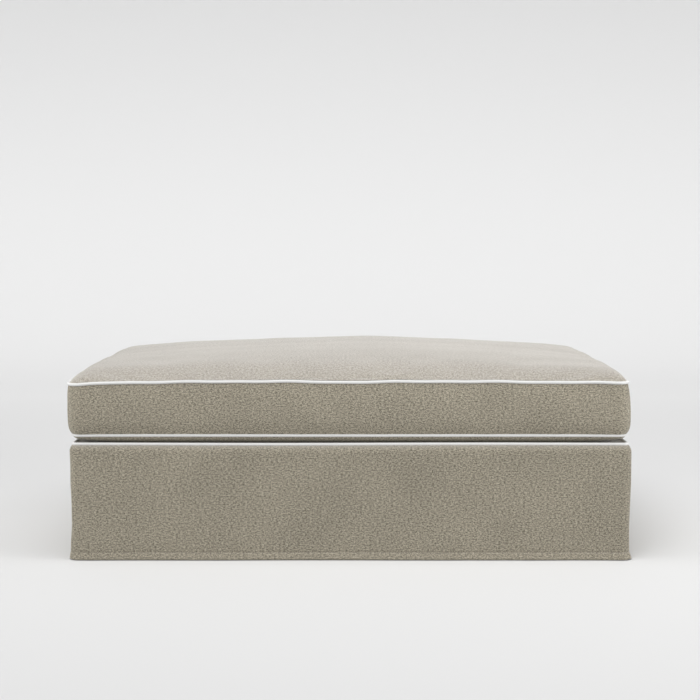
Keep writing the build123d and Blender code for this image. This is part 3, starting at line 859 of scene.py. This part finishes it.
def zip_coil(name, node, side):
    low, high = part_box(node)
    middle = (low + high) / 2
    step = np.arange(round((high.x - low.x) / coil_pitch) * coil_steps + 1)
    turn = 2 * np.pi * step / coil_steps
    x = low.x + coil_thread + (high.x - low.x - 2 * coil_thread) * step / step[-1]
    y = middle.y + ((high.y - low.y) / 2 - coil_thread) * np.sin(turn)
    z = middle.z + side * ((high.z - low.z) / 2 - coil_thread) * np.cos(turn)
    line = np.column_stack([x, y, z])
    return cord(name, line, coil_thread, roundness=0, closed=False, angle=80)


zip_coils = {name: zip_coil(f"zip_{name}_coil", f"{name}_zip_coil", side) for name, side in zip_sides.items()}
print("coil faces", len(zip_coils["upper"].data.polygons))

# %% Stitches beside the zip
stitches_from_zip = 7.5 * mm
zip_stitches = {}
for name, side in zip_sides.items():
    height = zip_height + side * stitches_from_zip
    share = seam_share(height)
    line = lean(rim_line(cushion_rim, boxing_reach(share), height, cushion_draw), share)
    zip_stitches[name] = sew_along(f"cushion_{name}_zip_stitches", line[right_end + 2 : left_start - 1])
    print(zip_stitches[name].name, len(zip_stitches[name].data.polygons) // len(stitch_faces))

# %% [markdown]
# ## Filling and padding
# Inside the cushion is a block of foam wrapped in wadding. It is a closed form that follows the cover from
# inside, so the cover lies on it everywhere. The foam pad on the base and the wadding round the rails are
# made the same way, from a rounded block and from a band.

# %% Cushion filling
skin = 2.2 * mm
lid_inset, lid_drop, back_inset = 4 * mm, 2 * mm, 4 * mm
ring_shares = np.linspace(0.06, 0.95, 7)
lid_line = rim_line(cushion_rim, top_reach - lid_inset, top_line_height - lid_drop, cushion_draw)
lid = panel_points(cushion_rim, lid_line)
lid[:, 2] += crown_height(lid[:, 0], lid[:, 1]) - skin
lean(lid, 1 - 0.7 * np.clip((lid[:, 2] - top_seam) / crown_rise, 0, 1))
bed, bed_rings = underside(skin + 0.6 * mm)
side_rings = []
for share in ring_shares[::-1]:
    height = bottom_line_height + (top_line_height - bottom_line_height) * share
    ring = rim_line(cushion_rim, boxing_reach(share) - skin - back_inset * at_back, height, cushion_draw)
    side_rings.append(lean(ring, share))
rings = len(side_rings) + bed_rings
lid_first = rings * total + (wide + 1) * (deep + 1)
lid_loop = edge_loop(wide, deep, lid_first)
faces = tray_faces(rings) + grid_faces(lid_first)
faces += [[lid_loop[a], lid_loop[a - 1], a - 1 if a else total - 1, a] for a in range(total)]
filling = new_mesh("cushion_filling", np.vstack([*side_rings, bed, lid]), faces)
edit(filling, (bpy.ops.mesh.normals_make_consistent, {"inside": False}))
print("filling faces", len(filling.data.polygons))

# %% Foam pad on the base
pad_edge, pad_cell = 6 * mm, 60 * mm
low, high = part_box("deck_pad")
only()
bpy.ops.mesh.primitive_cube_add(size=1)
deck_foam = named(bpy.context.object, "deck_foam_pad")
write_points(deck_foam, read_points(deck_foam) * np.array(high - low) + np.array((high + low) / 2))
cuts = [(bpy.ops.mesh.bevel, {"offset": pad_edge, "segments": 4, "affect": "EDGES"})]
for axis in range(2):
    for stop in np.arange(low[axis] + pad_cell, high[axis] - pad_cell / 2, pad_cell):
        place, normal = [0, 0, 0], [0, 0, 0]
        place[axis], normal[axis] = float(stop), 1
        cuts.append((bpy.ops.mesh.bisect, {"plane_co": place, "plane_no": normal}))
smooth_shade(edit(deck_foam, *cuts), 50)
points = read_points(deck_foam)
upper = points[:, 2] > (low.z + high.z) / 2
points[upper, 2] -= 0.5 * mm * (1 + np.sin(points[upper, 0] / 0.07) * np.sin(points[upper, 1] / 0.06)) / 2
write_points(deck_foam, points)

# %% Wadding round the rails
wadding_rows = 26
low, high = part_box("rail_wadding")
wadding_reach = high.x - base_core[0]
heights = np.linspace(low.z, high.z, wadding_rows + 1)
# Over the square corner of the rails the band is drawn tight
corner_reach = np.maximum(wadding_reach * (1 - 0.3 * cornering), rail_reach * (1 + cornering) + 1 * mm)
band = []
for height in heights:
    share = (height - low.z) / (high.z - low.z)
    rounding = 1.5 * mm * (abs(2 * share - 1) ** 8) * (1 - 2 * cornering)
    ripples = np.sin(base_along / (43 * mm) + 3 * share) + np.sin(base_along / (17 * mm) + 9 * share)
    tufts = np.minimum(0.5 * mm * ripples - 1.0 * mm, 0) * np.clip(1 - 6 * cornering, 0, 1)
    ring = rim_line(base_rim, corner_reach + tufts - rounding, height)
    band.append(np.vstack([ring, ring[:1]]))
rail_band = lay_cloth("rail_wadding_band", np.array(band), base_rim["along"], heights[:, None])
edit(rail_band, (bpy.ops.mesh.remove_doubles, {"threshold": 0.05 * mm}))
smooth_shade(thicken(rail_band, 2.8 * mm))
print("wadding faces", len(rail_band.data.polygons))

# %% [markdown]
# ## Webbing, hessian and dust cover
# Jute webbing is stretched across the frame in both directions, each strip passing over one and under the
# next. Hessian lies over it and carries the foam. A thin dark cloth is stapled underneath to keep the dust
# out. Their solids are plain, so they are cut again as cloth with their real weave.

# %% Webbing strips
web_width, web_thickness, ramp_run = 60 * mm, 1.4 * mm, 16 * mm
length_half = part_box("lengthwise_webbing")[1].x
cross_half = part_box("crosswise_webbing")[1].y
length_rows = [round((number - 1.5) * (2 * 365 / 5), 1) * mm for number in range(4)]
cross_rows = [(number - 3) * 153.75 * mm for number in range(7)]
lower_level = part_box("lengthwise_webbing")[0].z + web_thickness / 2 + 0.03 * mm
upper_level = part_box("crosswise_webbing")[1].z - web_thickness / 2 - 0.03 * mm


def webbing_strip(name, middle, half, crossings, first_over, lengthwise):
    run = np.arange(-half, half + 1e-6, half / round(half / (8 * mm)))
    level = np.full(len(run), lower_level)
    for number, crossing in enumerate(crossings):
        if (number + first_over) % 2:
            away = np.abs(run - crossing) - web_width / 2 - 1 * mm
            share = np.clip(1 - away / ramp_run, 0, 1)
            level = np.maximum(level, lower_level + (upper_level - lower_level) * (3 - 2 * share) * share**2)
    across = np.linspace(-web_width / 2, web_width / 2, 7)
    x, y = np.meshgrid(run, across + middle)
    if not lengthwise:
        x, y = y, x
    points = np.stack([x, y, np.broadcast_to(level, x.shape)], 2)
    return thicken(lay_cloth(name, points, run, across[:, None], (0, 0, 0)), web_thickness, inward=False)


webbing = {"lengthwise": [], "crosswise": []}
for number, middle in enumerate(length_rows):
    name = f"lengthwise_webbing_{number + 1}"
    webbing["lengthwise"].append(webbing_strip(name, middle, length_half, cross_rows, number % 2, True))
for number, middle in enumerate(cross_rows):
    name = f"crosswise_webbing_{number + 1}"
    webbing["crosswise"].append(webbing_strip(name, middle, cross_half, length_rows, (number + 1) % 2, False))
print("webbing strips", {direction: len(strips) for direction, strips in webbing.items()})


# %% Hessian and dust cover
def flat_sheet(name, node, cell, thickness, notch=None):
    low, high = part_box(node)
    width, depth = high.x - low.x, high.y - low.y
    piece = cut_cloth(name, round(width / cell), round(depth / cell))
    points = read_points(piece) * (width, depth, 0) + (0, 0, high.z)
    write_points(piece, points)
    lay_weave(piece, points[:, 0], points[:, 1])
    if notch:
        edit(piece, (bpy.ops.mesh.select_all, {"action": "DESELECT"}), whole=False)
        for face in piece.data.polygons:
            face.select = abs(face.center.x) > notch[0] and abs(face.center.y) > notch[1]
        edit(piece, (bpy.ops.mesh.delete, {"type": "FACE"}), whole=False)
    return thicken(piece, thickness)


leg_low, leg_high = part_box("front_right_leg")
leg_notch = (leg_low.x - 4 * mm, -leg_high.y - 4 * mm)
hessian = flat_sheet("base_hessian", "hessian", 12 * mm, 0.85 * mm)
dust_cover = flat_sheet("base_dust_cover", "dust_cover", 8 * mm, 0.6 * mm, leg_notch)

# %% [markdown]
# ## Finishes
# The cover is a short-pile cloth: a warm grey-brown ground with paler and darker flecks one or two
# millimetres long, and faint broad clouds where the pile leans differently. Where the cloth faces up it is
# painted paler, bluer and calmer: a painted highlight and sheen for the light that falls on the top. The
# shader's sheen adds a soft bloom at grazing angles. The flecks come from noise laid on the cloth's own weave
# map.


# %% Node helpers
def give(tree, node, inputs):
    # An input is linked if it gets another node's output, and set if it gets a value
    for key, value in inputs.items():
        if isinstance(value, bpy.types.NodeSocket):
            tree.links.new(value, node.inputs[key])
        else:
            node.inputs[key].default_value = value


def add(tree, kind, output=0, inputs=None, **settings):
    node = tree.nodes.new(f"ShaderNode{kind}")
    for key, value in settings.items():
        setattr(node, key, value)
    give(tree, node, inputs or {})
    return node.outputs[output]


def ramp(tree, source, low, high, to_low=0.0, to_high=1.0):
    limits = {"From Min": low, "From Max": high, "To Min": to_low, "To Max": to_high}
    return add(tree, "MapRange", "Result", {"Value": source, **limits})


def blend_colours(tree, factor, first, second, blend="MIX"):
    return add(tree, "Mix", 2, {0: factor, 6: first, 7: second}, data_type="RGBA", blend_type=blend)


def noise(tree, place, scale, detail=2.0, roughness=0.5):
    inputs = {"Vector": place, "Scale": scale, "Detail": detail, "Roughness": roughness}
    return add(tree, "TexNoise", "Fac", inputs)


def add_values(tree, first, second, weight=1.0):
    return add(tree, "Math", 0, {0: second, 1: weight, 2: first}, operation="MULTIPLY_ADD")


def tint(colour, scale, digits=9):
    return tuple(round(float(value), digits) for value in np.multiply(colour[:3], scale)) + (1,)


def material(name):
    finish = bpy.data.materials.new(name)
    finish.use_nodes = True
    return finish, finish.node_tree


def finished(finish, inputs, height=None, depth=0.0, strength=1.0):
    # Gives the shader its inputs, and a bump where there is a height
    tree = finish.node_tree
    if height:
        bump = add(tree, "Bump", "Normal", {"Height": height, "Distance": depth, "Strength": strength})
        inputs = {**inputs, "Normal": bump}
    give(tree, tree.nodes["Principled BSDF"], inputs)
    return finish


# %% Cover cloth
pile_ground, pile_shade, pile_light = (0.27, 0.243, 0.187), (0.075, 0.066, 0.049), (0.52, 0.474, 0.375)
dark_cloud, pale_cloud = (0.925, 0.925, 0.925, 1), (1.065, 1.065, 1.065, 1)
# Up-facing cloth is painted paler and bluer: a painted highlight and sheen for the light on the top
no_tint, painted_top_sheen_tint, painted_top_light_tint = (1, 1, 1, 1), (1.47, 1.53, 1.80, 1), (1.43, 1.49, 1.76)


def pile_cloth(name, ground, shade, light):
    finish, tree = material(name)
    weave = add(tree, "UVMap", "UV", uv_map="weave")
    threads = add(tree, "Mapping", "Vector", {"Vector": weave, "Scale": (0.55, 1.0, 1.0)})
    fleck = noise(tree, threads, 860, 2.0, 0.75)
    slub = noise(tree, threads, 330, 2.0, 0.6)
    cloud = noise(tree, weave, 6, 3.0, 0.55)
    grain = add_values(tree, fleck, slub, 0.6)
    colour = blend_colours(tree, ramp(tree, grain, 0.66, 0.94), shade, light)
    colour = blend_colours(tree, 0.08, colour, ground)
    dim = blend_colours(tree, ramp(tree, cloud, 0.3, 0.7), dark_cloud, pale_cloud)
    colour = blend_colours(tree, 1.0, colour, dim, "MULTIPLY")
    # Faces that point up get a painted highlight and sheen, and a blend towards a painted lit ground colour
    upward = add(tree, "SeparateXYZ", "Z", {0: add(tree, "TexCoord", "Normal")})
    painted_top_sheen = blend_colours(tree, ramp(tree, upward, 0.58, 1.0), no_tint, painted_top_sheen_tint)
    colour = blend_colours(tree, 1.0, colour, painted_top_sheen, "MULTIPLY")
    painted_top_light_share = ramp(tree, upward, 0.30, 0.80, 0.0, 0.55)
    colour = blend_colours(tree, painted_top_light_share, colour, tint(ground, painted_top_light_tint, 4))
    sheen = {"Sheen Weight": 0.5, "Sheen Roughness": 0.35, "Sheen Tint": (1.0, 0.98, 0.93, 1)}
    inputs = {"Base Color": colour, "Roughness": 0.95, "Specular IOR Level": 0.15, **sheen}
    return finished(finish, inputs, grain, 0.6 * mm, 0.8)


def shades(scale):
    return [tint(colour, scale, 4) for colour in (pile_ground, pile_shade, pile_light)]


cover_cloth = pile_cloth("taupe pile cloth, cushion", *shades(0.985))
# The skirt and deck use the same cloth painted darker: painted shade for the less lit lower skirt
painted_shade_skirt_cloth = pile_cloth("taupe pile cloth, darkened as painted shade", *shades(0.93))


# %% Piping cloth, thread and wadding
def plain_cloth(name, colour, scale, depth=0.2 * mm):
    finish, tree = material(name)
    threads = noise(tree, add(tree, "TexCoord", "Object"), scale, 2.0, 0.5)
    colour = blend_colours(tree, ramp(tree, threads, 0.3, 0.7), tint(colour, 0.86), colour)
    inputs = {"Base Color": colour, "Roughness": 0.9, "Specular IOR Level": 0.2}
    return finished(finish, inputs, threads, depth, 0.5)


piping_cloth = plain_cloth("white piping cloth", (0.74, 0.74, 0.73, 1), 900)
# The thread is its own taupe darkened further: painted shade of the dimples that the stitches lie in
thread_darkened_as_dimple_shade = plain_cloth("taupe sewing thread, darkened as painted dimple shade", (0.16, 0.14, 0.105, 1), 2500, 0.05 * mm)
wadding = plain_cloth("white polyester wadding", (0.86, 0.86, 0.84, 1), 160, 1.5 * mm)


# %% Open weaves: two sets of threads that cross
def woven(name, colour, dark, threads_per_metre, depth, stripe=None):
    finish, tree = material(name)
    weave = add(tree, "UVMap", "UV", uv_map="weave")
    wave = {"Vector": weave, "Scale": threads_per_metre / math.tau, "Distortion": 1.0, "Detail Scale": 30}
    across, along = (add(tree, "TexWave", "Fac", wave, bands_direction=direction) for direction in "XY")
    height = add_values(tree, add_values(tree, across, along), noise(tree, weave, 60, 2.0), 0.6)
    mix = blend_colours(tree, ramp(tree, height, 0.7, 1.9), dark, colour)
    if stripe:
        from_edge, half_width, stripe_colour = stripe
        place = add(tree, "SeparateXYZ", "Y", {0: weave})
        from_middle = add(tree, "Math", 0, {0: place}, operation="ABSOLUTE")
        band = add(tree, "Math", 0, {0: from_middle, 1: from_edge, 2: half_width}, operation="COMPARE")
        mix = blend_colours(tree, band, mix, stripe_colour)
    return finished(finish, {"Base Color": mix, "Roughness": 0.92}, height, depth, 0.8)


web_stripe = (22 * mm, 2.5 * mm, (0.10, 0.08, 0.07, 1))
hessian_cloth = woven("hessian", (0.47, 0.34, 0.18, 1), (0.16, 0.11, 0.05, 1), 500, 0.5 * mm)
jute_webbing = woven("jute webbing", (0.50, 0.38, 0.22, 1), (0.20, 0.14, 0.07, 1), 700, 0.4 * mm, web_stripe)
dust_cloth = woven("dark dust cloth", (0.045, 0.045, 0.047, 1), (0.02, 0.02, 0.02, 1), 1300, 0.1 * mm)
tape_cloth = woven("zip tape", (0.30, 0.262, 0.205, 1), (0.15, 0.13, 0.10, 1), 1600, 0.15 * mm)


# %% Foam
def foam(name):
    finish, tree = material(name)
    place = add(tree, "TexCoord", "Object")
    cells = add(tree, "TexVoronoi", "Distance", {"Vector": place, "Scale": 700})
    ageing = ramp(tree, noise(tree, place, 5), 0.3, 0.7)
    colour = blend_colours(tree, ageing, (0.80, 0.74, 0.52, 1), (0.84, 0.80, 0.62, 1))
    colour = blend_colours(tree, ramp(tree, cells, 0.1, 0.6), (0.55, 0.50, 0.34, 1), colour)
    return finished(finish, {"Base Color": colour, "Roughness": 0.95}, cells, 0.6 * mm, 0.7)


cream_foam = foam("cream upholstery foam")

# %% [markdown]
# Wood grain runs along a board, so the noise that draws it is stretched along the board's own length.
# Plated steel and moulded nylon are almost even; a little noise in their roughness keeps them from looking
# drawn.


# %% Wood, steel and plastic
def wood(name, stretch):
    finish, tree = material(name)
    board = add(tree, "Mapping", "Vector", {"Vector": add(tree, "TexCoord", "Object"), "Scale": stretch})
    grain = add_values(tree, noise(tree, board, 24, 4.0, 0.6), noise(tree, board, 260, 2.0, 0.5), 0.35)
    colour = blend_colours(tree, ramp(tree, grain, 0.45, 0.9), (0.60, 0.41, 0.22, 1), (0.78, 0.60, 0.37, 1))
    return finished(finish, {"Base Color": colour, "Roughness": 0.62}, grain, 0.25 * mm, 0.5)


def even_finish(name, colour, roughness, metallic, grain_scale):
    finish, tree = material(name)
    mottle = noise(tree, add(tree, "TexCoord", "Object"), grain_scale, 3.0)
    colour = blend_colours(tree, ramp(tree, mottle, 0.3, 0.7), tint(colour, 0.82), colour)
    gloss = ramp(tree, mottle, 0.3, 0.7, roughness * 0.8, roughness * 1.2)
    return finished(finish, {"Base Color": colour, "Roughness": gloss, "Metallic": metallic})


wood_across = wood("pine, grain across", (0.06, 1, 1))
wood_deep = wood("pine, grain front to back", (1, 0.06, 1))
wood_upright = wood("pine, grain upright", (1, 1, 0.06))
plated_steel = even_finish("zinc plated steel", (0.62, 0.63, 0.64, 1), 0.35, 1.0, 120)
black_nylon = even_finish("black nylon", (0.03, 0.03, 0.032, 1), 0.5, 0.0, 300)
coil_nylon = even_finish("taupe nylon coil", (0.27, 0.235, 0.18, 1), 0.4, 0.0, 300)
zip_enamel = even_finish("taupe enamelled metal", (0.26, 0.225, 0.175, 1), 0.32, 0.0, 200)

# %% [markdown]
# ## Put the pieces in place
# Each piece is tied to the body that it moves with, and stands for the plain solids that it covers.


# %% Tie and finish
def fit(piece, body, slot, finish, *replaced):
    piece.data.materials.clear()
    piece.data.materials.append(finish)
    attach(piece, body)
    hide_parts(*replaced)


def sew_on(piece, body, replaced):
    smooth_shade(piece)
    fit(piece, body, "cover_cloth", painted_shade_skirt_cloth if body == "slipcover" else cover_cloth, replaced)


sew_on(top_cover, "cushion", "top_panel")
sew_on(bottom_cover, "cushion", "bottom_panel")
for side, piece in boxing.items():
    sew_on(piece, "cushion", f"{side}_boxing")
smooth_shade(filling)
fit(filling, "cushion", "wadding", wadding, "foam_core", "wrap_top", "wrap_bottom", "wrap_sides")
for seam, piece in piping.items():
    body = "slipcover" if seam == "base" else "cushion"
    fit(piece, body, "piping_cloth", piping_cloth, f"{seam}_piping", f"{seam}_piping_cord")
for name in zip_sides:
    fit(zip_tapes[name], "cushion", "zip_tape", tape_cloth, f"{name}_zip_tape")
    fit(zip_coils[name], "cushion", "zip_coil", coil_nylon, f"{name}_zip_coil")
    fit(zip_stitches[name], "cushion", "cover_cloth", thread_darkened_as_dimple_shade)
for side, piece in skirts.items():
    sew_on(piece, "slipcover", f"{side}_skirt")
    fit(hem_stitches[side], "slipcover", "cover_cloth", thread_darkened_as_dimple_shade)
sew_on(deck_cover, "slipcover", "deck_panel")
fit(deck_foam, "frame", "foam", cream_foam, "deck_pad")
fit(rail_band, "frame", "wadding", wadding, "rail_wadding")
fit(hessian, "frame", "hessian", hessian_cloth, "hessian")
fit(dust_cover, "frame", "lining", dust_cloth, "dust_cover")
for direction, strips in webbing.items():
    for piece in strips:
        fit(piece, "frame", "webbing", jute_webbing, f"{direction}_webbing")

# %% Flat cut widths of the skirt panels, and the boxes of the hessian and dust cover
wide_cut = float(base_rim["along"][wide_base])
deep_cut = float(base_rim["along"][half_round] - base_rim["along"][wide_base])
for side, piece in skirts.items():
    cut = wide_cut if side in ("front", "back") else deep_cut
for piece, node in ((hessian, "hessian"), (dust_cover, "dust_cover")):
    low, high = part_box(node)


# %% Finish the wooden frame and the metal and plastic pieces that came with it
def dress(finish, *names):
    for name in names:
        piece = nodes[name]
        for place in piece.material_slots:
            place.material = finish
        if not piece.material_slots:
            piece.data.materials.append(finish)


corner_names = ("front_left", "front_right", "back_right", "back_left")
dress(wood_across, "front_rail", "back_rail", *(f"{corner}_corner_block" for corner in corner_names))
dress(wood_deep, "left_rail", "right_rail", "left_cross_rail", "right_cross_rail")
dress(wood_upright, *(f"{corner}_leg" for corner in corner_names))
dress(plated_steel, "leg_bolts", "webbing_staples")
dress(black_nylon, "glides")
dress(zip_enamel, "zip_stops", "zip_slider", "zip_pull")

# %% [markdown]
# ## Room, light and camera
# The room is a plain pale floor that sweeps up behind the object, so no horizon shows. The light is soft
# and comes mostly from the upper left in front, which leaves a soft shadow on the floor at the right.

# %% Pale floor and backdrop
sweep_width, sweep_length, sweep_start = 24, 16.0, -5.0
flat_run, sweep_radius = 9.0, 3.0
floor = cut_cloth("studio_sweep", 4, 120)
points = read_points(floor)
run = (points[:, 1] + 0.5) * sweep_length
turn = np.clip((run - flat_run) / sweep_radius, 0, math.pi / 2)
rise = np.maximum(run - flat_run - sweep_radius * math.pi / 2, 0)
points[:, 0] *= sweep_width
points[:, 1] = sweep_start + np.minimum(run, flat_run) + sweep_radius * np.sin(turn)
points[:, 2] = sweep_radius * (1 - np.cos(turn)) + rise
smooth_shade(write_points(floor, points))

floor_finish, tree = material("pale studio floor")
further = ramp(tree, add(tree, "SeparateXYZ", "Y", {0: add(tree, "TexCoord", "Object")}), 0.2, 3.0)
pale = blend_colours(tree, further, (0.68, 0.68, 0.68, 1), (0.84, 0.84, 0.84, 1))
finished(floor_finish, {"Base Color": pale, "Roughness": 0.9, "Specular IOR Level": 0.1})
floor.data.materials.append(floor_finish)


# %% Lights
def add_light(name, kind, power, direction, place=(0, 0, 0), **settings):
    light = bpy.data.lights.new(name, kind)
    for key, value in settings.items():
        setattr(light, key, value)
    light.energy = power
    lamp = add_object(name, light)
    lamp.location = place
    lamp.rotation_euler = Vector(direction).to_track_quat("-Z", "Y").to_euler()


# Level light from each side catches the rounded corners and hardly touches the floor
for name, direction, angle, power in (
    ("front light", (0.22, 0.74, -0.68), 45, 1.23),
    ("overhead light", (0.12, 0.25, -1.00), 50, 0.75),
    ("right edge light", (-1.0, -0.06, 0.0), 16, 1.3),
    ("left edge light", (1.0, -0.06, 0.0), 16, 1.1),
):
    add_light(name, "SUN", power, direction, angle=math.radians(angle))
for name, place, target, width, power in (
    ("top light", (0.0, -0.7, 2.2), (0, -0.1, 0.3), 2.0, 20),
    ("right fill", (2.8, -1.0, 0.9), (0.6, -0.1, 0.2), 1.4, 22),
    ("left fill", (-2.8, -0.9, 0.9), (-0.6, -0.1, 0.2), 1.4, 10),
):
    aim = Vector(target) - Vector(place)
    add_light(name, "AREA", power, aim, place, shape="RECTANGLE", size=width, size_y=1.2)
world = bpy.data.worlds.new("studio")
bpy.context.scene.world = world
world.use_nodes = True
give(world.node_tree, world.node_tree.nodes["Background"], {"Color": (1, 1, 1, 1), "Strength": 0.29})
bpy.context.scene.view_settings.view_transform = "Standard"

# %% Camera
camera_data = bpy.data.cameras.new("camera")
camera = add_object("camera", camera_data)
bpy.context.scene.camera = camera
camera_data.sensor_width = 36
camera_data.lens = 72.88
camera.location = (-0.0009, -0.4 - 3.22, 0.738)
camera.rotation_euler = (math.radians(90 - 4.457), 0, 0)
